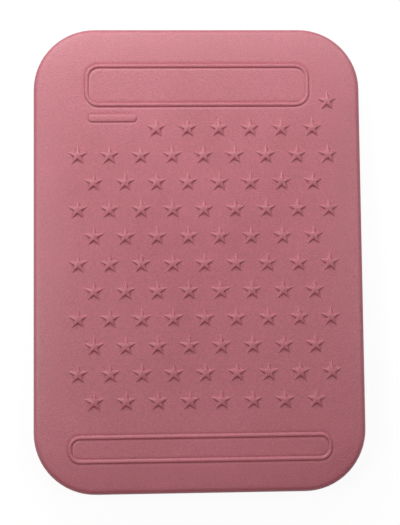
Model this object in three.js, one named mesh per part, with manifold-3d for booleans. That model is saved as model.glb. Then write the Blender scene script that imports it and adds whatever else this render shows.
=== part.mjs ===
// A board for keeping pin badges. Two moulded foam trays are bonded rim to rim around a pocket, which
// holds a dense foam core on a thin stop sheet. The posts of the badges go through the starred face
// into the core, which grips them, and the sheet stops their points short of the back.
// Sizes are in millimetres, +Z is up, the board lies on its back and the origin is under its middle.

import * as THREE from "three";
import { mergeVertices } from "three/addons/utils/BufferGeometryUtils.js";
import Module from "manifold-3d";

const wasm = await Module();
wasm.setup();
const { Manifold, Mesh: SolidMesh } = wasm;

// Outside of the board
const boardWidth = 134;
const boardHeight = 189;
const boardThickness = 12.7; // from the back to the face, without the stars
const cornerRadius = 25;
const faceEdgeRadius = 3;
const backEdgeRadius = 2.5;
const seamHeight = 4; // top of the back tray's rim

// Pocket between the trays
const rimWidth = 9;
const skinThickness = 3; // face tray over the pocket
const floorThickness = 2.2; // back tray under the pocket

// Layers
const stopSheetThickness = 1;
const filmThickness = 0.2;
const filmInset = 0.5; // bond films stop short of the edges that they join
const insertClearance = 0.4; // between the pocket wall and what lies in it
const layerClearance = 0.02; // between faces that lie on each other

// Raised stars, in rows that are staggered by half a pitch
const starPitch = 12.7;
const starTipRadius = 4.4;
const starShoulderRadius = 2.6; // where the ridge of an arm bends down
const starNotchRadius = 1.9; // where a notch meets the face
const starWallRun = 0.4; // how far a notch leans in on its way up
const starHeight = 0.6;
const starSwell = 1.5; // bulge of a star's top: 1 is a plain cone, 2 a round dome
const starStep = 0.05; // upright foot of a star
const starSpacing = 1.6; // least distance from a star's tip to what is next to it
const starPoints = 5;
const fieldShift = 2.17; // the field sits a little to the right of the middle
const firstRowDrop = 30.74; // from the board's top edge to the first row

// Bare places that the stars keep clear of: a title, a tag under its left end and a foot line
const titleMargin = 22; // from the board's side edges
const titleDrop = 24; // from the board's top edge to the middle of the title
const titleHeight = 16;
const tagLength = 21;
const tagHeight = 5.4;
const tagGap = 2.6; // under the title
const footMargin = 15;
const footRise = 18.5; // from the board's bottom edge to the middle of the foot line
const footHeight = 9.5;

// How finely the curves are cut, and how the solids are joined
const cornerSegments = 7;
const edgeSegments = 6;
const starRoot = 0.6; // how deep a star is rooted in the face
const weldDistance = 1e-5; // corners closer than this are one

// Colours and roughness
const faceFoam = { color: 0xb36c77, roughness: 0.6 };
const backFoam = { color: 0xae6872, roughness: 0.7 };
const coreFoam = { color: 0x3a3a3e, roughness: 0.9 };
const sheetPlastic = { color: 0xe9e9e6, roughness: 0.4 };
const bondFilm = { color: 0xe3dccb, roughness: 0.4 };

// Levels that follow from the sizes
const pocketCeiling = boardThickness - skinThickness;
const sheetFilmLevel = floorThickness + layerClearance;
const stopSheetLevel = sheetFilmLevel + filmThickness + layerClearance;
const coreFilmLevel = stopSheetLevel + stopSheetThickness + layerClearance;
const coreLevel = coreFilmLevel + filmThickness + layerClearance;
const faceFilmLevel = pocketCeiling - layerClearance - filmThickness;
const coreThickness = faceFilmLevel - layerClearance - coreLevel;
const rimFilmLevel = seamHeight + layerClearance;
const faceTrayLevel = rimFilmLevel + filmThickness + layerClearance;

// A rectangle with round corners, drawn around the origin
function roundedRectangle(width, height, radius) {
  const x = width / 2 - radius;
  const y = height / 2 - radius;
  const quarter = Math.PI / 2;
  const shape = new THREE.Shape();
  shape.absarc(x, y, radius, 0, quarter);
  shape.absarc(-x, y, radius, quarter, 2 * quarter);
  shape.absarc(-x, -y, radius, 2 * quarter, 3 * quarter);
  shape.absarc(x, -y, radius, 3 * quarter, 4 * quarter);
  shape.closePath();
  return shape;
}

// The board's outline, moved in by a distance
function boardOutline(inset) {
  return roundedRectangle(
    boardWidth - 2 * inset,
    boardHeight - 2 * inset,
    cornerRadius - inset,
  );
}

function slab(shape, thickness) {
  return new THREE.ExtrudeGeometry(shape, {
    depth: thickness,
    bevelEnabled: false,
    curveSegments: cornerSegments,
  });
}

// The whole board as one slab with its two edges rounded to the same radius
function roundedBoard(edgeRadius) {
  const geometry = new THREE.ExtrudeGeometry(boardOutline(0), {
    depth: boardThickness - 2 * edgeRadius,
    bevelThickness: edgeRadius,
    bevelSize: edgeRadius,
    bevelOffset: -edgeRadius,
    bevelSegments: edgeSegments,
    curveSegments: cornerSegments,
  });
  return geometry.translate(0, 0, edgeRadius);
}

function toSolid(geometry) {
  const bare = new THREE.BufferGeometry();
  bare.setAttribute("position", geometry.getAttribute("position"));
  bare.setIndex(geometry.getIndex());
  const welded = mergeVertices(bare, weldDistance);
  return new Manifold(new SolidMesh({
    numProp: 3,
    vertProperties: new Float32Array(welded.getAttribute("position").array),
    triVerts: new Uint32Array(welded.getIndex().array),
  }));
}

function toGeometry(solid) {
  const mesh = solid.getMesh();
  const geometry = new THREE.BufferGeometry();
  geometry.setAttribute("position", new THREE.BufferAttribute(mesh.vertProperties, mesh.numProp));
  geometry.setIndex(new THREE.BufferAttribute(mesh.triVerts, 1));
  geometry.computeVertexNormals();
  return geometry;
}

// A block between two levels that is wider than the board, to cut with
function cutter(bottom, top) {
  const block = new THREE.BoxGeometry(2 * boardWidth, 2 * boardHeight, top - bottom);
  return toSolid(block.translate(0, 0, (top + bottom) / 2));
}

function pocketBetween(bottom, top) {
  return toSolid(slab(boardOutline(rimWidth), top - bottom).translate(0, 0, bottom));
}

const titleWidth = boardWidth - 2 * titleMargin;
const titleMiddle = boardHeight / 2 - titleDrop;
const titlePlace = { x: 0, y: titleMiddle, width: titleWidth, height: titleHeight };
const tagPlace = {
  x: (tagLength - titleWidth) / 2,
  y: titleMiddle - (titleHeight + tagHeight) / 2 - tagGap,
  width: tagLength,
  height: tagHeight,
};
const footPlace = {
  x: 0,
  y: footRise - boardHeight / 2,
  width: boardWidth - 2 * footMargin,
  height: footHeight,
};
const barePlaces = [titlePlace, tagPlace, footPlace];

// Height of a star's bulging top over the face
function starLevel(radius) {
  return starHeight - (starHeight - starStep) * (radius / starTipRadius) ** starSwell;
}

// One star: a low faceted dome whose notches are cut down to an upright foot
function starGeometry() {
  const crownRadius = starNotchRadius - starWallRun;
  const positions = [];
  const index = [];
  const addPoint = (radius, angle, level) => {
    positions.push(-radius * Math.sin(angle), radius * Math.cos(angle), level);
    return positions.length / 3 - 1;
  };
  const apex = addPoint(0, 0, starHeight);
  const root = addPoint(0, 0, -starRoot);
  const halfStep = Math.PI / starPoints;
  const arms = [];
  for (let arm = 0; arm < starPoints; arm += 1) {
    const tipAngle = 2 * halfStep * arm;
    const notchAngle = tipAngle + halfStep;
    arms.push({
      shoulder: addPoint(starShoulderRadius, tipAngle, starLevel(starShoulderRadius)),
      tip: addPoint(starTipRadius, tipAngle, starStep),
      tipRoot: addPoint(starTipRadius, tipAngle, -starRoot),
      crown: addPoint(crownRadius, notchAngle, starLevel(crownRadius)),
      notch: addPoint(starNotchRadius, notchAngle, starStep),
      notchRoot: addPoint(starNotchRadius, notchAngle, -starRoot),
    });
  }
  arms.forEach((arm, place) => {
    const next = arms[(place + 1) % starPoints];
    index.push(apex, arm.shoulder, arm.crown, apex, arm.crown, next.shoulder);
    index.push(arm.shoulder, arm.tip, arm.crown, arm.crown, next.tip, next.shoulder);
    index.push(arm.tip, arm.notch, arm.crown, arm.crown, arm.notch, next.tip);
    index.push(arm.tip, arm.tipRoot, arm.notch, arm.tipRoot, arm.notchRoot, arm.notch);
    index.push(arm.notch, arm.notchRoot, next.tip, arm.notchRoot, next.tipRoot, next.tip);
    index.push(root, arm.notchRoot, arm.tipRoot, root, next.tipRoot, arm.notchRoot);
  });
  const geometry = new THREE.BufferGeometry();
  geometry.setAttribute("position", new THREE.Float32BufferAttribute(positions, 3));
  geometry.setIndex(index);
  return geometry;
}

// How far from a star's middle its neighbours may begin
const starReach = starTipRadius + starSpacing;

function isBare(x, y) {
  return barePlaces.some((place) => {
    const inWidth = Math.abs(x - place.x) < place.width / 2 + starReach;
    const inHeight = Math.abs(y - place.y) < place.height / 2 + starReach;
    return inWidth && inHeight;
  });
}

// Staggered rows that fill the flat face, from the first row down to the foot line
function starPlaces() {
  const rowPitch = starPitch * Math.sin(Math.PI / 3);
  const firstRow = boardHeight / 2 - firstRowDrop;
  const lastRow = footPlace.y + footPlace.height / 2 + starReach;
  const halfFace = boardWidth / 2 - faceEdgeRadius - Math.abs(fieldShift) - starReach;
  const columns = 1 + 2 * Math.floor(halfFace / starPitch);
  const rows = 1 + Math.floor((firstRow - lastRow) / rowPitch);
  const places = [];
  for (let row = 0; row < rows; row += 1) {
    const count = columns - (row % 2);
    const y = firstRow - row * rowPitch;
    for (let column = 0; column < count; column += 1) {
      const x = fieldShift + (column - (count - 1) / 2) * starPitch;
      if (!isBare(x, y)) {
        places.push([x, y, boardThickness]);
      }
    }
  }
  return places;
}

function faceTraySolid() {
  const star = toSolid(starGeometry());
  const stars = starPlaces().map((place) => star.translate(place));
  const body = toSolid(roundedBoard(faceEdgeRadius))
    .subtract(cutter(-boardThickness, faceTrayLevel))
    .subtract(pocketBetween(0, pocketCeiling));
  return Manifold.union([body, ...stars]);
}

function backTraySolid() {
  return toSolid(roundedBoard(backEdgeRadius))
    .subtract(cutter(seamHeight, 2 * boardThickness))
    .subtract(pocketBetween(floorThickness, boardThickness));
}

// A layer in the pocket, held off the pocket wall
function insert(thickness, inset) {
  return slab(boardOutline(rimWidth + insertClearance + inset), thickness);
}

function rimFilmGeometry() {
  const ring = boardOutline(filmInset);
  ring.holes.push(new THREE.Path(boardOutline(rimWidth - filmInset).getPoints(cornerSegments)));
  return slab(ring, filmThickness);
}

const board = new THREE.Group();
board.name = "pin_badge_board";

function addPiece(name, geometry, level, finish) {
  const material = new THREE.MeshStandardMaterial(finish);
  const piece = new THREE.Mesh(geometry, material);
  piece.name = name;
  piece.position.z = level;
  board.add(piece);
}

addPiece("back_tray", toGeometry(backTraySolid()), 0, backFoam);
addPiece("sheet_film", insert(filmThickness, filmInset), sheetFilmLevel, bondFilm);
addPiece("stop_sheet", insert(stopSheetThickness, 0), stopSheetLevel, sheetPlastic);
addPiece("core_film", insert(filmThickness, filmInset), coreFilmLevel, bondFilm);
addPiece("grip_core", insert(coreThickness, 0), coreLevel, coreFoam);
addPiece("face_film", insert(filmThickness, filmInset), faceFilmLevel, bondFilm);
addPiece("rim_film", rimFilmGeometry(), rimFilmLevel, bondFilm);
addPiece("face_tray", toGeometry(faceTraySolid()), 0, faceFoam);

export default board;
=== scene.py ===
import math

import bmesh
import bpy
from mathutils import Matrix, Vector
from mathutils.geometry import delaunay_2d_cdt


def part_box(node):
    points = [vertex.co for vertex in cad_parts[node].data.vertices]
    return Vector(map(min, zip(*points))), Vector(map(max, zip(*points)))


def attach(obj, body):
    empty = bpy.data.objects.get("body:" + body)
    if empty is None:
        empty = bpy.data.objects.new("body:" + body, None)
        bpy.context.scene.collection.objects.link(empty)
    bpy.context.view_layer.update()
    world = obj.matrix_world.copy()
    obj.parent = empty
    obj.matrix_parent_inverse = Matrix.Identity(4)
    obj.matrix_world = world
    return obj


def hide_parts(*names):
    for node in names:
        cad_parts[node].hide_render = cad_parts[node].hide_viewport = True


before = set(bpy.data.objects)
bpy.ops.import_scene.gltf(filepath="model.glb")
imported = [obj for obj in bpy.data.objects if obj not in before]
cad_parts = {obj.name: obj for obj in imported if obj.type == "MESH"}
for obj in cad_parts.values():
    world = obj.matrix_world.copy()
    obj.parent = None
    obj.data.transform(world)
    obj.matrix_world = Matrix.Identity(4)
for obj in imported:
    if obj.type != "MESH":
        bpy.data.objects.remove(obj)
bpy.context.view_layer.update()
scene = bpy.context.scene
mm = 0.001  # sizes below are written in millimetres
colourA, colourB, colourOut = 6, 7, 2  # places of a Mix node's colour sockets
trayLow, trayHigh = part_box("face_tray")
boardWidth = (trayHigh[0] - trayLow[0]) / mm
boardHeight = (trayHigh[1] - trayLow[1]) / mm
print("frame loaded, board", round(boardWidth, 2), "by", round(boardHeight, 2), "mm")


def srgb(code):
    parts = [int(code[k:k + 2], 16) / 255 for k in (1, 3, 5)]
    linear = [c / 12.92 if c <= 0.04045 else ((c + 0.055) / 1.055) ** 2.4 for c in parts]
    return (*linear, 1.0)


def perMetre(size):  # texture scale whose pattern repeats at a size in millimetres
    return 1 / (size * mm)


def addNode(tree, kind, links, **settings):
    node = tree.nodes.new(kind)
    for name, value in settings.items():
        setattr(node, name, value)
    for socket, source in links.items():
        if isinstance(source, bpy.types.NodeSocket):
            tree.links.new(source, node.inputs[socket])
        else:
            node.inputs[socket].default_value = source
    return node


def newMaterial(name):
    material = bpy.data.materials.new(name)
    material.use_nodes = True
    material.node_tree.nodes.clear()
    return material, material.node_tree


# camera: about 280 mm straight above the face, close to its middle
camera = dict(
    place=(-7.2, -14.6, 294.6),
    aim=(0.57, -1.62, 6.35),
    roll=-0.6,  # degrees
    lens=48,
    nearest=10,  # nothing closer than this is drawn
)


def makeCamera():
    data = bpy.data.cameras.new("camera")
    data.lens = camera["lens"]
    data.clip_start = camera["nearest"] * mm
    place = Vector(camera["place"]) * mm
    backward = (place - Vector(camera["aim"]) * mm).normalized()
    right = Vector((0, 1, 0)).cross(backward).normalized()
    turn = Matrix((right, backward.cross(right), backward)).transposed()
    turn = turn @ Matrix.Rotation(math.radians(camera["roll"]), 3, "Z")
    eye = bpy.data.objects.new("camera", data)
    eye.matrix_world = Matrix.Translation(place) @ turn.to_4x4()
    scene.collection.objects.link(eye)
    scene.camera = eye


makeCamera()
print("camera set")


# moulded EVA foam: a closed skin with a dry satin sheen, a fine pebbled grain from the mould and a
# few dark specks of stray pigment
def mouldedFoam(name, look):
    material, tree = newMaterial(name)
    place = addNode(tree, "ShaderNodeTexCoord", {}).outputs["Object"]
    cloud = addNode(
        tree, "ShaderNodeTexNoise",
        {"Vector": place, "Scale": perMetre(look["cloudSize"]), "Detail": look["cloudDetail"]},
    )
    grain = addNode(
        tree, "ShaderNodeTexNoise",
        {"Vector": place, "Scale": perMetre(look["grainSize"]), "Detail": look["grainDetail"]},
    )
    specks = addNode(
        tree, "ShaderNodeTexVoronoi",
        {"Vector": place, "Scale": perMetre(look["speckSpacing"])},
    )
    chosen = addNode(tree, "ShaderNodeSeparateColor", {"Color": specks.outputs["Color"]})
    reach = addNode(
        tree, "ShaderNodeMapRange",
        {
            "Value": chosen.outputs["Red"], "From Min": look["speckFree"],
            "To Max": look["speckSize"] / look["speckSpacing"] / 2,
        },
    )
    speck = addNode(
        tree, "ShaderNodeMath", {0: specks.outputs["Distance"], 1: reach.outputs["Result"]},
        operation="LESS_THAN",
    )
    cloudLow, cloudHigh = look["cloudRange"]
    cloudShare = addNode(
        tree, "ShaderNodeMapRange",
        {"Value": cloud.outputs["Fac"], "From Min": cloudLow, "From Max": cloudHigh},
    )
    body = addNode(
        tree, "ShaderNodeMix",
        {
            "Factor": cloudShare.outputs["Result"],
            colourA: srgb(look["dark"]), colourB: srgb(look["light"]),
        },
        data_type="RGBA",
    )
    grainLow, grainHigh = look["grainRange"]
    grainShare = addNode(
        tree, "ShaderNodeMapRange",
        {
            "Value": grain.outputs["Fac"], "From Min": grainLow, "From Max": grainHigh,
            "To Min": 1 - look["grainTone"], "To Max": 1 + look["grainTone"],
        },
    )
    toned = addNode(
        tree, "ShaderNodeVectorMath",
        {0: body.outputs[colourOut], "Scale": grainShare.outputs["Result"]}, operation="SCALE",
    )
    marked = addNode(
        tree, "ShaderNodeMix",
        {
            "Factor": speck.outputs["Value"],
            colourA: toned.outputs["Vector"], colourB: srgb(look["speck"]),
        },
        data_type="RGBA",
    )
    relief = addNode(
        tree, "ShaderNodeBump",
        {"Height": grain.outputs["Fac"], "Distance": look["grainDepth"] * mm},
    )
    sheen = addNode(
        tree, "ShaderNodeMapRange",
        {
            "Value": cloud.outputs["Fac"], "From Min": cloudLow, "From Max": cloudHigh,
            "To Min": look["roughness"] - look["sheenSpread"],
            "To Max": look["roughness"] + look["sheenSpread"],
        },
    )
    shader = addNode(
        tree, "ShaderNodeBsdfPrincipled",
        {
            "Base Color": marked.outputs[colourOut], "Roughness": sheen.outputs["Result"],
            "IOR": look["ior"], "Specular IOR Level": look["specular"],
            "Normal": relief.outputs["Normal"],
        },
    )
    addNode(tree, "ShaderNodeOutputMaterial", {"Surface": shader.outputs["BSDF"]})
    return material


# cross-linked polyethylene foam: dull charcoal with fine open cells on its cut faces, each cell's
# hollow painted darker as painted shade
def cutFoam(look):
    material, tree = newMaterial("crossLinkedFoam")
    place = addNode(tree, "ShaderNodeTexCoord", {}).outputs["Object"]
    cells = addNode(
        tree, "ShaderNodeTexVoronoi",
        {"Vector": place, "Scale": perMetre(look["cellSize"])},
    )
    # painted shade: the colour darkens towards the middle of each cell, where its hollow is
    tone = addNode(
        tree, "ShaderNodeMix",
        {
            "Factor": cells.outputs["Distance"],
            colourA: srgb(look["pitShade"]), colourB: srgb(look["wall"]),
        },
        data_type="RGBA",
    )
    relief = addNode(
        tree, "ShaderNodeBump",
        {"Height": cells.outputs["Distance"], "Distance": look["cellDepth"] * mm},
    )
    shader = addNode(
        tree, "ShaderNodeBsdfPrincipled",
        {
            "Base Color": tone.outputs[colourOut], "Roughness": look["roughness"],
            "Normal": relief.outputs["Normal"],
        },
    )
    addNode(tree, "ShaderNodeOutputMaterial", {"Surface": shader.outputs["BSDF"]})
    return material


# extruded polypropylene sheet: milky white with a low haircell texture
def hardSheet(look):
    material, tree = newMaterial("polypropyleneSheet")
    place = addNode(tree, "ShaderNodeTexCoord", {}).outputs["Object"]
    hair = addNode(
        tree, "ShaderNodeTexNoise",
        {"Vector": place, "Scale": perMetre(look["hairSize"]), "Detail": look["hairDetail"]},
    )
    tone = addNode(
        tree, "ShaderNodeMix",
        {
            "Factor": hair.outputs["Fac"],
            colourA: srgb(look["dark"]), colourB: srgb(look["light"]),
        },
        data_type="RGBA",
    )
    relief = addNode(
        tree, "ShaderNodeBump",
        {"Height": hair.outputs["Fac"], "Distance": look["hairDepth"] * mm},
    )
    shader = addNode(
        tree, "ShaderNodeBsdfPrincipled",
        {
            "Base Color": tone.outputs[colourOut], "Roughness": look["roughness"],
            "Normal": relief.outputs["Normal"],
        },
    )
    addNode(tree, "ShaderNodeOutputMaterial", {"Surface": shader.outputs["BSDF"]})
    return material


# hot-melt bond film: thin cream film, a little cloudy where it has flowed
def bondFilm(look):
    material, tree = newMaterial("hotMeltFilm")
    place = addNode(tree, "ShaderNodeTexCoord", {}).outputs["Object"]
    flow = addNode(
        tree, "ShaderNodeTexNoise",
        {"Vector": place, "Scale": perMetre(look["flowSize"]), "Detail": look["flowDetail"]},
    )
    tone = addNode(
        tree, "ShaderNodeMix",
        {
            "Factor": flow.outputs["Fac"],
            colourA: srgb(look["dark"]), colourB: srgb(look["light"]),
        },
        data_type="RGBA",
    )
    gloss = addNode(
        tree, "ShaderNodeMapRange",
        {"Value": flow.outputs["Fac"], "To Min": look["smoothest"], "To Max": look["roughest"]},
    )
    shader = addNode(
        tree, "ShaderNodeBsdfPrincipled",
        {"Base Color": tone.outputs[colourOut], "Roughness": gloss.outputs["Result"]},
    )
    addNode(tree, "ShaderNodeOutputMaterial", {"Surface": shader.outputs["BSDF"]})
    return material


faceLook = dict(
    light="#ad505f", dark="#a74a58", cloudSize=22, cloudDetail=3.0, cloudRange=(0.3, 0.7),
    grainSize=0.5, grainDetail=2.0, grainRange=(0.25, 0.75),  # coarser than real, so that it shows
    grainTone=0.24, grainDepth=0.13,
    speck="#6d333c", speckSize=0.7, speckSpacing=15, speckFree=0.55,  # share of cells with no speck
    roughness=0.54, sheenSpread=0.03, ior=1.63, specular=1.0,
)
backLook = dict(faceLook, light="#a84c5b", dark="#a24654", roughness=0.55)
# the pit colour is painted shade in the hollows of the cells
coreLook = dict(wall="#434347", pitShade="#2c2c30", cellSize=0.7, cellDepth=0.1, roughness=0.85)
sheetLook = dict(
    light="#ededea", dark="#e0e0dc", hairSize=0.4, hairDetail=4.0, hairDepth=0.02, roughness=0.42,
)
filmLook = dict(
    light="#ece5d2", dark="#d9d0ba", flowSize=6, flowDetail=3.0, smoothest=0.3, roughest=0.5,
)

faceFoam = mouldedFoam("mouldedFoamFace", faceLook)
backFoam = mouldedFoam("mouldedFoamBack", backLook)
print("materials made")


# one star of the moulded field, on a round patch of face
star = dict(
    points=5,
    tip=4.45,
    notch=1.9,
    height=1.0,
    swell=1.35,  # 1 is a plain cone, 2 a round dome
    wallSlope=1.4,
    crownSoft=0.25,
    footSoft=0.05,
    patch=5.4,
    # lines of the mesh: rays from a tip to a notch in shares of half an arm, rings in shares of the
    # way to the shoulder and of the wall, and steps past the foot of the wall
    rays=(0.0, 0.09, 0.24, 0.46, 0.72),
    domeRings=(0.16, 0.34, 0.54, 0.74, 0.9),
    wallRings=(0.0, 0.35, 0.7, 1.0),
    skirtSteps=(0.12, 0.32, 0.7),
    leastStep=0.02,
)

halfArm = math.pi / star["points"]
notchX = star["notch"] * math.cos(halfArm)
notchY = star["notch"] * math.sin(halfArm)
sideLength = math.hypot(notchY, star["tip"] - notchX)
sideNormal = (notchY / sideLength, (star["tip"] - notchX) / sideLength)
sideReach = star["tip"] * sideNormal[0]  # from the star's middle to the line of a side


def softLow(a, b, soft):  # the lower of two heights, rounded where they meet
    return min(a, b) - max(soft - abs(a - b), 0) ** 2 / (4 * soft)


def starRise(radius, angle):  # angle from the middle line of the nearest arm
    dome = star["height"] * (1 - (radius / star["tip"]) ** star["swell"])
    across = sideNormal[0] * math.cos(angle) + sideNormal[1] * math.sin(angle)
    wall = star["wallSlope"] * (sideReach - radius * across)
    rise = softLow(dome, wall, star["crownSoft"])
    return -softLow(-rise, 0, star["footSoft"])


def rayRadii(angle):
    across = sideNormal[0] * math.cos(angle) + sideNormal[1] * math.sin(angle)
    foot = sideReach / across
    steep = star["wallSlope"] * sideReach
    shoulder = (steep - star["height"]) / (steep / foot - star["height"] / star["tip"])
    radii = [share * shoulder for share in star["domeRings"]]
    radii += [shoulder + share * (foot - shoulder) for share in star["wallRings"]]
    radii += [foot + step for step in star["skirtSteps"]]
    for k in range(1, len(radii)):
        radii[k] = max(radii[k], radii[k - 1] + star["leastStep"])
    return radii + [star["patch"]]


def starCell():
    bm = bmesh.new()
    rays = []
    for arm in range(star["points"]):
        middle = 2 * halfArm * arm
        for share in star["rays"]:
            rays.append((middle + share * halfArm, share * halfArm))
        for share in (1.0, *reversed(star["rays"][1:])):
            rays.append((middle + (2 - share) * halfArm, share * halfArm))
    rows = []
    for turn, angle in rays:
        row = []
        for radius in rayRadii(angle):
            spot = (-radius * math.sin(turn), radius * math.cos(turn), starRise(radius, angle))
            row.append(bm.verts.new(Vector(spot) * mm))
        rows.append(row)
    peak = bm.verts.new((0, 0, starRise(0, 0) * mm))
    for k, row in enumerate(rows):
        after = rows[(k + 1) % len(rows)]
        bm.faces.new((peak, row[0], after[0]))
        for j in range(len(row) - 1):
            bm.faces.new((row[j], row[j + 1], after[j + 1], after[j]))
    mesh = bpy.data.meshes.new("starCell")
    bm.to_mesh(mesh)
    bm.free()
    return mesh


# bare places in the field, and the staggered rows of stars around them
field = dict(
    pitch=12.7,
    columns=9,
    rows=12,
    shift=2.17,
    firstRow=63.76,
    clear=5.8,  # from a star's middle to a bare place
)
barePlaces = {
    "Head": dict(middle=(0, 70.5), size=(90, 16), round=5),
    "Bar": dict(middle=(-34.5, 57.0), size=(20, 3.4), round=1.7),
    "Foot": dict(middle=(0, -76.0), size=(104, 9.5), round=4),
}


def starFieldTree(material):
    tree = bpy.data.node_groups.new("starField", "GeometryNodeTree")
    sockets = tree.interface
    sockets.new_socket("Star", in_out="INPUT", socket_type="NodeSocketGeometry")
    for name in ("Columns", "Rows"):
        sockets.new_socket(name, in_out="INPUT", socket_type="NodeSocketInt")
    for name in ("Pitch", "Shift", "First Row", "Level"):
        sockets.new_socket(name, in_out="INPUT", socket_type="NodeSocketFloat")
    for name in barePlaces:
        sockets.new_socket(name + " Middle", in_out="INPUT", socket_type="NodeSocketVector")
        sockets.new_socket(name + " Reach", in_out="INPUT", socket_type="NodeSocketVector")
    sockets.new_socket("Field", in_out="OUTPUT", socket_type="NodeSocketGeometry")
    given = addNode(tree, "NodeGroupInput", {}).outputs
    values = {socket.name: socket for socket in given}
    values["index"] = addNode(tree, "GeometryNodeInputIndex", {}).outputs[0]
    # the lattice, one line each: a name, the operation and the two values that it takes
    lattice = (
        ("past", "ADD", "index", 0.5),  # half a step keeps the rows from rounding down
        ("share", "DIVIDE", "past", "Columns"),
        ("row", "FLOOR", "share", 0.0),
        ("before", "MULTIPLY", "row", "Columns"),
        ("column", "SUBTRACT", "index", "before"),
        ("odd", "MODULO", "row", 2.0),
        ("last", "SUBTRACT", "Columns", 1.0),
        ("half", "DIVIDE", "last", 2.0),
        ("across", "SUBTRACT", "column", "half"),
        ("stagger", "DIVIDE", "odd", 2.0),
        ("staggered", "ADD", "across", "stagger"),
        ("run", "MULTIPLY", "staggered", "Pitch"),
        ("x", "ADD", "run", "Shift"),
        ("rowPitch", "MULTIPLY", "Pitch", math.sin(math.pi / 3)),  # rows of an even triangular grid
        ("drop", "MULTIPLY", "row", "rowPitch"),
        ("y", "SUBTRACT", "First Row", "drop"),
        ("count", "MULTIPLY", "Columns", "Rows"),
        ("limit", "SUBTRACT", "last", 0.5),
        ("atEnd", "GREATER_THAN", "column", "limit"),
        ("spare", "MULTIPLY", "odd", "atEnd"),  # odd rows have one star less
    )
    for name, operation, first, second in lattice:
        sources = {0: values.get(first, first), 1: values.get(second, second)}
        values[name] = addNode(tree, "ShaderNodeMath", sources, operation=operation).outputs[0]
    spot = addNode(
        tree, "ShaderNodeCombineXYZ", {"X": values["x"], "Y": values["y"], "Z": given["Level"]},
    )
    points = addNode(
        tree, "GeometryNodePoints", {"Count": values["count"], "Position": spot.outputs[0]},
    )
    spare = values["spare"]
    place = addNode(tree, "GeometryNodeInputPosition", {}).outputs[0]
    for name in barePlaces:
        apart = addNode(
            tree, "ShaderNodeVectorMath", {0: place, 1: given[name + " Middle"]},
            operation="SUBTRACT",
        )
        flat = addNode(tree, "ShaderNodeVectorMath", {0: apart.outputs[0]}, operation="ABSOLUTE")
        beyond = addNode(
            tree, "ShaderNodeVectorMath", {0: flat.outputs[0], 1: given[name + " Reach"]},
            operation="SUBTRACT",
        )
        sides = addNode(tree, "ShaderNodeSeparateXYZ", {0: beyond.outputs[0]}).outputs
        farther = addNode(
            tree, "ShaderNodeMath", {0: sides["X"], 1: sides["Y"]}, operation="MAXIMUM",
        )
        inside = addNode(
            tree, "ShaderNodeMath", {0: farther.outputs[0], 1: 0.0}, operation="LESS_THAN",
        )
        spare = addNode(
            tree, "ShaderNodeMath", {0: spare, 1: inside.outputs[0]}, operation="MAXIMUM",
        ).outputs[0]
    kept = addNode(
        tree, "GeometryNodeDeleteGeometry", {"Geometry": points.outputs[0], "Selection": spare},
        domain="POINT",
    )
    copies = addNode(
        tree, "GeometryNodeInstanceOnPoints",
        {"Points": kept.outputs[0], "Instance": given["Star"]},
    )
    solid = addNode(tree, "GeometryNodeRealizeInstances", {"Geometry": copies.outputs[0]})
    dressed = addNode(
        tree, "GeometryNodeSetMaterial", {"Geometry": solid.outputs[0], "Material": material},
    )
    addNode(tree, "NodeGroupOutput", {"Field": dressed.outputs[0]})
    return tree


def makeStarField(material):
    cell = bpy.data.objects.new("starField", starCell())
    scene.collection.objects.link(cell)
    modifier = cell.modifiers.new("starField", "NODES")
    modifier.node_group = starFieldTree(material)
    values = {
        "Columns": field["columns"], "Rows": field["rows"], "Pitch": field["pitch"] * mm,
        "Shift": field["shift"] * mm, "First Row": field["firstRow"] * mm,
        "Level": tray["face"] * mm,
    }
    for name, spot in barePlaces.items():
        values[name + " Middle"] = Vector((*spot["middle"], tray["face"])) * mm
        reach = [side / 2 + field["clear"] for side in spot["size"]]
        values[name + " Reach"] = Vector((*reach, 0)) * mm
    for item in modifier.node_group.interface.items_tree:
        if item.in_out == "INPUT" and item.name in values:
            modifier[item.identifier] = values[item.name]
    seen = cell.evaluated_get(bpy.context.evaluated_depsgraph_get())
    mesh = bpy.data.meshes.new_from_object(seen)
    bpy.data.objects.remove(cell)
    return mesh


# the two trays: levels and insets follow the solids that they stand for
tray = dict(
    face=12.7,
    cornerRadius=25,
    faceEdge=3.0,
    backEdge=2.5,
    rimWidth=9,
    ceiling=9.7,
    floor=2.2,
    lip=0.5,  # soft edge on each side of the seam
    flatRing=1.2,  # flat run of back before it turns up
    cornerSteps=16,
    sideSteps=24,
    edgeSteps=10,
    lipSteps=4,
)
# the face falls away a little towards its edge, as on a pillow
crown = dict(
    width=17,
    turn=math.radians(5),  # slope where the rounded edge begins
    border=8.4,  # inset of the plain band's inner side, short of the nearest star
    bandSteps=5,
    meshStep=3.0,
    starGap=0.4,  # from a loose point of the mesh to a star's patch
    reliefGap=3.4,  # and to a bare place
)
# how the meshes are filled, joined and shaded
meshing = dict(
    fillTolerance=1e-5,
    weld=0.002,
    sharpAngle=math.radians(50),
)
crownEnd = tray["faceEdge"] * (1 - math.sin(crown["turn"]))
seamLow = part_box("back_tray")[1][2] / mm
seamHigh = trayLow[2] / mm


def roundedRing(width, height, radius, level, cornerSteps, sideSteps):
    turns = ((1, 1, 0), (-1, 1, 90), (-1, -1, 180), (1, -1, 270))
    corners = []
    for signX, signY, start in turns:
        middle = (signX * (width / 2 - radius), signY * (height / 2 - radius))
        arc = []
        for step in range(cornerSteps + 1):
            turn = math.radians(start + 90 * step / cornerSteps)
            arc.append((middle[0] + radius * math.cos(turn), middle[1] + radius * math.sin(turn)))
        corners.append(arc)
    points = []
    for k, arc in enumerate(corners):
        points += arc
        begin, end = arc[-1], corners[(k + 1) % len(corners)][0]
        for step in range(1, sideSteps):
            share = step / sideSteps
            points.append(tuple(b + share * (e - b) for b, e in zip(begin, end)))
    return [(x, y, level) for x, y in points]


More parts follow.
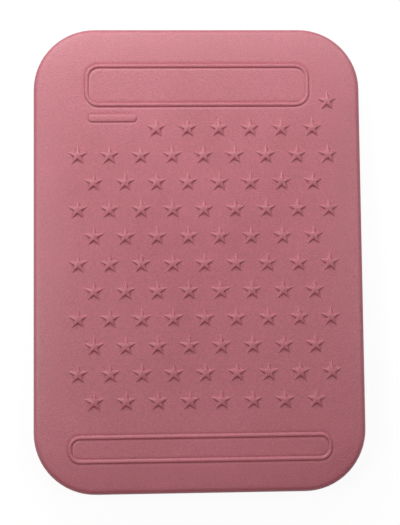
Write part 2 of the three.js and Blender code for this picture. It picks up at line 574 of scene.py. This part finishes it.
def boardRing(inset, level):
    return roundedRing(
        boardWidth - 2 * inset, boardHeight - 2 * inset, tray["cornerRadius"] - inset, level,
        tray["cornerSteps"], tray["sideSteps"],
    )


def edgeInset(x, y):  # distance in from the board's outline
    apartX = abs(x) - boardWidth / 2 + tray["cornerRadius"]
    apartY = abs(y) - boardHeight / 2 + tray["cornerRadius"]
    if apartX > 0 and apartY > 0:
        return tray["cornerRadius"] - math.hypot(apartX, apartY)
    return tray["cornerRadius"] - max(apartX, apartY)


def crownFall(inset):
    run = crown["width"] - crownEnd
    return math.tan(crown["turn"]) * max(crown["width"] - inset, 0) ** 2 / run / 2


def loft(bm, rings):
    rows = [[bm.verts.new(Vector(point) * mm) for point in ring] for ring in rings]
    count = len(rows[0])
    for upper, lower in zip(rows, rows[1:]):
        for k in range(count):
            after = (k + 1) % count
            bm.faces.new((upper[k], upper[after], lower[after], lower[k]))
    return rows


def quarterTurn(steps):
    return [math.pi / 2 * step / steps for step in range(steps + 1)]


# raised beads around the bare places at the head and the foot, and a plain bar under the left end
# of the upper one
bead = dict(
    # distance from the bead's middle line and height there: a groove on each side of a round bead
    profile=(
        (-2.2, 0), (-1.5, 0), (-1.2, -0.1), (-0.95, -0.16),
        (-0.75, 0.08), (-0.5, 0.34), (-0.25, 0.45), (0, 0.48),
        (0.25, 0.45), (0.5, 0.34), (0.75, 0.08),
        (0.95, -0.16), (1.2, -0.1), (1.5, 0), (2.2, 0),
    ),
    cornerSteps=10,
    sideSteps=20,
)
bar = dict(
    # distance out from the bar's outline and height there: a groove around a raised top
    profile=(
        (1.2, 0), (0.5, 0), (0.25, -0.08), (0, -0.1), (-0.2, 0.14), (-0.45, 0.34), (-0.8, 0.42),
    ),
    cornerSteps=8,
    sideSteps=10,
)


def reliefRows(bm, spot, form):
    rings = []
    for grow, rise in form["profile"]:
        ring = roundedRing(
            spot["size"][0] + 2 * grow, spot["size"][1] + 2 * grow, spot["round"] + grow,
            tray["face"] + rise, form["cornerSteps"], form["sideSteps"],
        )
        rings.append([(x + spot["middle"][0], y + spot["middle"][1], z) for x, y, z in ring])
    return loft(bm, rings)


def isInside(x, y, spot, grow):
    apartX = max(abs(x - spot["middle"][0]) - (spot["size"][0] / 2 - spot["round"]), 0)
    apartY = max(abs(y - spot["middle"][1]) - (spot["size"][1] / 2 - spot["round"]), 0)
    return math.hypot(apartX, apartY) < spot["round"] + grow


def boundaryLoops(bm):
    loops, seen = [], set()
    for edge in bm.edges:
        if not edge.is_boundary or edge in seen:
            continue
        loop, vert = [], edge.verts[0]
        while edge not in seen:
            seen.add(edge)
            loop.append(vert)
            vert = edge.other_vert(vert)
            edge = next((e for e in vert.link_edges if e.is_boundary and e not in seen), edge)
        loops.append(loop)
    return loops


# plain face between the stars, the beads and the rounded edge; a hole is a part that is already
# made, given by its outer loop and, where plain face goes on inside it, its inner loop
def fillFace(bm, border, holes, loose):
    loops = [border, *(loop for hole in holes for loop in hole if loop)]
    verts = [vert for loop in loops for vert in loop] + loose
    spots = [Vector((vert.co.x, vert.co.y)) / mm for vert in verts]
    edges, first = [], 0
    for loop in loops:
        count = len(loop)
        edges += [(first + k, first + (k + 1) % count) for k in range(count)]
        first += count
    owner = {vert: k for k, hole in enumerate(holes) for loop in hole for vert in loop}
    innerVerts = {vert for _, inner in holes for vert in inner}
    _, _, faces, origins, _, _ = delaunay_2d_cdt(spots, edges, [], 0, meshing["fillTolerance"])
    for face in faces:
        corners = [verts[origins[k][0]] for k in face]
        owners = {owner.get(vert) for vert in corners}
        inHole = len(owners) == 1 and None not in owners
        if not inHole or all(vert in innerVerts for vert in corners):
            bm.faces.new(corners)


def finishMesh(bm, name, material):
    bmesh.ops.remove_doubles(bm, verts=bm.verts, dist=meshing["weld"] * mm)
    bmesh.ops.recalc_face_normals(bm, faces=bm.faces)
    if bm.calc_volume(signed=True) < 0:
        bmesh.ops.reverse_faces(bm, faces=bm.faces)
    for face in bm.faces:
        face.smooth = True
        face.material_index = 0
    for edge in bm.edges:
        edge.smooth = len(edge.link_faces) == 2 and edge.calc_face_angle() < meshing["sharpAngle"]
    openEdges = sum(1 for edge in bm.edges if len(edge.link_faces) != 2)
    mesh = bpy.data.meshes.new(name)
    bm.to_mesh(mesh)
    bm.free()
    mesh.materials.append(material)
    piece = bpy.data.objects.new(name, mesh)
    scene.collection.objects.link(piece)
    print(name, len(mesh.polygons), "faces,", openEdges, "open edges")
    return piece


def makeFaceTray(material):
    bm = bmesh.new()
    bm.from_mesh(makeStarField(material))
    starLoops = boundaryLoops(bm)
    print("star field", len(starLoops), "stars")
    starMiddles = [sum((vert.co for vert in loop), Vector()) / len(loop) / mm for loop in starLoops]
    holes = [(loop, []) for loop in starLoops]
    for name in ("Head", "Foot"):
        beadRows = reliefRows(bm, barePlaces[name], bead)
        holes.append((beadRows[-1], beadRows[0]))
    barRows = reliefRows(bm, barePlaces["Bar"], bar)
    bm.faces.new(barRows[-1])
    holes.append((barRows[0], []))

    def isTaken(x, y):
        clear = star["patch"] + crown["starGap"]
        if any(math.hypot(x - spot.x, y - spot.y) < clear for spot in starMiddles):
            return True
        return any(isInside(x, y, spot, crown["reliefGap"]) for spot in barePlaces.values())

    loose = []
    columns = int(boardWidth / crown["meshStep"])
    rows = int(boardHeight / crown["meshStep"])
    for column in range(columns):
        for row in range(rows):
            x = (column + 0.5) * boardWidth / columns - boardWidth / 2
            y = (row + 0.5) * boardHeight / rows - boardHeight / 2
            onCrown = crown["border"] + crown["meshStep"] / 2 < edgeInset(x, y) < crown["width"]
            if onCrown and not isTaken(x, y):
                loose.append(bm.verts.new(Vector((x, y, tray["face"])) * mm))
    for vert in bm.verts:
        vert.co.z -= crownFall(edgeInset(vert.co.x / mm, vert.co.y / mm)) * mm
    edge, lip = tray["faceEdge"], tray["lip"]
    rings = []
    for step in range(crown["bandSteps"] + 1):
        inset = crown["border"] + (crownEnd - crown["border"]) * step / crown["bandSteps"]
        rings.append(boardRing(inset, tray["face"] - crownFall(inset)))
    edgeLevel = tray["face"] - crownFall(crownEnd) - edge * math.cos(crown["turn"])
    for quarter in quarterTurn(tray["edgeSteps"])[1:]:
        turn = crown["turn"] + quarter * (1 - crown["turn"] / (math.pi / 2))
        rings.append(boardRing(edge * (1 - math.sin(turn)), edgeLevel + edge * math.cos(turn)))
    for turn in quarterTurn(tray["lipSteps"]):
        rings.append(boardRing(lip * (1 - math.cos(turn)), seamHigh + lip * (1 - math.sin(turn))))
    rings.append(boardRing(tray["rimWidth"], seamHigh))
    rings.append(boardRing(tray["rimWidth"], tray["ceiling"]))
    shell = loft(bm, rings)
    bm.faces.new(shell[-1])
    fillFace(bm, shell[0], holes, loose)
    piece = finishMesh(bm, "faceTray", material)
    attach(piece, "root")
    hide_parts("face_tray")


def makeBackTray(material):
    bm = bmesh.new()
    edge, lip = tray["backEdge"], tray["lip"]
    rings = [boardRing(edge + tray["flatRing"], 0)]
    for turn in quarterTurn(tray["edgeSteps"]):
        rings.append(boardRing(edge * (1 - math.sin(turn)), edge * (1 - math.cos(turn))))
    for turn in quarterTurn(tray["lipSteps"]):
        rings.append(boardRing(lip * (1 - math.cos(turn)), seamLow - lip * (1 - math.sin(turn))))
    rings.append(boardRing(tray["rimWidth"], seamLow))
    rings.append(boardRing(tray["rimWidth"], tray["floor"]))
    shell = loft(bm, rings)
    bm.faces.new(shell[0])
    bm.faces.new(shell[-1])
    piece = finishMesh(bm, "backTray", material)
    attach(piece, "root")
    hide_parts("back_tray")


makeFaceTray(faceFoam)
makeBackTray(backFoam)
print("trays made")


# the sealed layers keep their solids and get their own materials
def dressLayers():
    core, sheet, film = cutFoam(coreLook), hardSheet(sheetLook), bondFilm(filmLook)
    looks = {
        "grip_core": core, "stop_sheet": sheet,
        "face_film": film, "core_film": film, "sheet_film": film, "rim_film": film,
    }
    for name, material in looks.items():
        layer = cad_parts[name]
        layer.data.materials.clear()
        layer.data.materials.append(material)


dressLayers()
print("layers dressed")


# soft lamps along the top of the face, the left one stronger, a larger one on each side, a weak one
# from the foot and a faint even room
lamps = {
    "topLeft": dict(place=(-160, 260, 170), size=(200, 100), power=0.38),
    "topRight": dict(place=(160, 260, 170), size=(200, 100), power=0.18),
    "topLow": dict(place=(0, 210, 120), size=(300, 80), power=0.12),
    "topHigh": dict(place=(0, 190, 200), size=(300, 80), power=0.1),
    "strip": dict(place=(20, 405, 300), size=(800, 160), power=0.2),
    "leftBox": dict(place=(-340, 0, 340), size=(300, 300), power=1.0),
    "rightBox": dict(place=(340, 20, 360), size=(300, 300), power=0.64),
    "front": dict(place=(0, -230, 420), size=(200, 100), power=0.23),
}
light = dict(
    aim=(0, 0, 12),
    room=0.03,  # strength of the even light from all around
    floorSize=3000,
    floorTone="#646464",  # grey, so that little light comes back up on the board
    floorGlow=0.9,  # lifts the floor to white where it is seen, with the shadow kept
)


def makeLight():
    for name, lamp in lamps.items():
        data = bpy.data.lights.new(name, "AREA")
        data.shape = "ELLIPSE"
        data.size = lamp["size"][0] * mm
        data.size_y = lamp["size"][1] * mm
        data.energy = lamp["power"]
        place = Vector(lamp["place"]) * mm
        source = bpy.data.objects.new(name, data)
        source.location = place
        aim = Vector(light["aim"]) * mm - place
        source.rotation_euler = aim.to_track_quat("-Z", "Y").to_euler()
        scene.collection.objects.link(source)
    world = bpy.data.worlds.new("room")
    world.use_nodes = True
    tree = world.node_tree
    tree.nodes.clear()
    # white around the floor where it is seen, also through clear things; glossy rays see the faint
    # room, because a white one would veil the satin foam
    white = srgb("#ffffff")
    room = addNode(tree, "ShaderNodeBackground", {"Color": white, "Strength": light["room"]})
    backdrop = addNode(tree, "ShaderNodeBackground", {"Color": white})
    path = addNode(tree, "ShaderNodeLightPath", {}).outputs
    seen = addNode(
        tree, "ShaderNodeMath", {0: path["Is Camera Ray"], 1: path["Is Transmission Ray"]},
        operation="MAXIMUM",
    )
    sky = addNode(
        tree, "ShaderNodeMixShader",
        {0: seen.outputs[0], 1: room.outputs["Background"], 2: backdrop.outputs["Background"]},
    )
    addNode(tree, "ShaderNodeOutputWorld", {"Surface": sky.outputs["Shader"]})
    scene.world = world


# paper sweep: a matt floor that reads as white and keeps the board's shadow
def makeFloor():
    material, tree = newMaterial("whiteSweep")
    tone = srgb(light["floorTone"])
    paper = addNode(tree, "ShaderNodeBsdfDiffuse", {"Color": tone}).outputs["BSDF"]
    glow = addNode(tree, "ShaderNodeEmission", {"Strength": light["floorGlow"]}).outputs["Emission"]
    lit = addNode(tree, "ShaderNodeAddShader", {0: paper, 1: glow}).outputs["Shader"]
    path = addNode(tree, "ShaderNodeLightPath", {}).outputs
    seen = path["Is Camera Ray"]
    for ray in ("Is Glossy Ray", "Is Transmission Ray"):
        seen = addNode(
            tree, "ShaderNodeMath", {0: seen, 1: path[ray]}, operation="MAXIMUM",
        ).outputs[0]
    shader = addNode(tree, "ShaderNodeMixShader", {0: seen, 1: paper, 2: lit})
    addNode(tree, "ShaderNodeOutputMaterial", {"Surface": shader.outputs["Shader"]})
    bm = bmesh.new()
    bmesh.ops.create_grid(bm, x_segments=1, y_segments=1, size=light["floorSize"] * mm / 2)
    mesh = bpy.data.meshes.new("floor")
    bm.to_mesh(mesh)
    bm.free()
    mesh.materials.append(material)
    floor = bpy.data.objects.new("floor", mesh)
    scene.collection.objects.link(floor)


makeLight()
makeFloor()
scene.view_settings.view_transform = "Standard"
print("light and floor set")
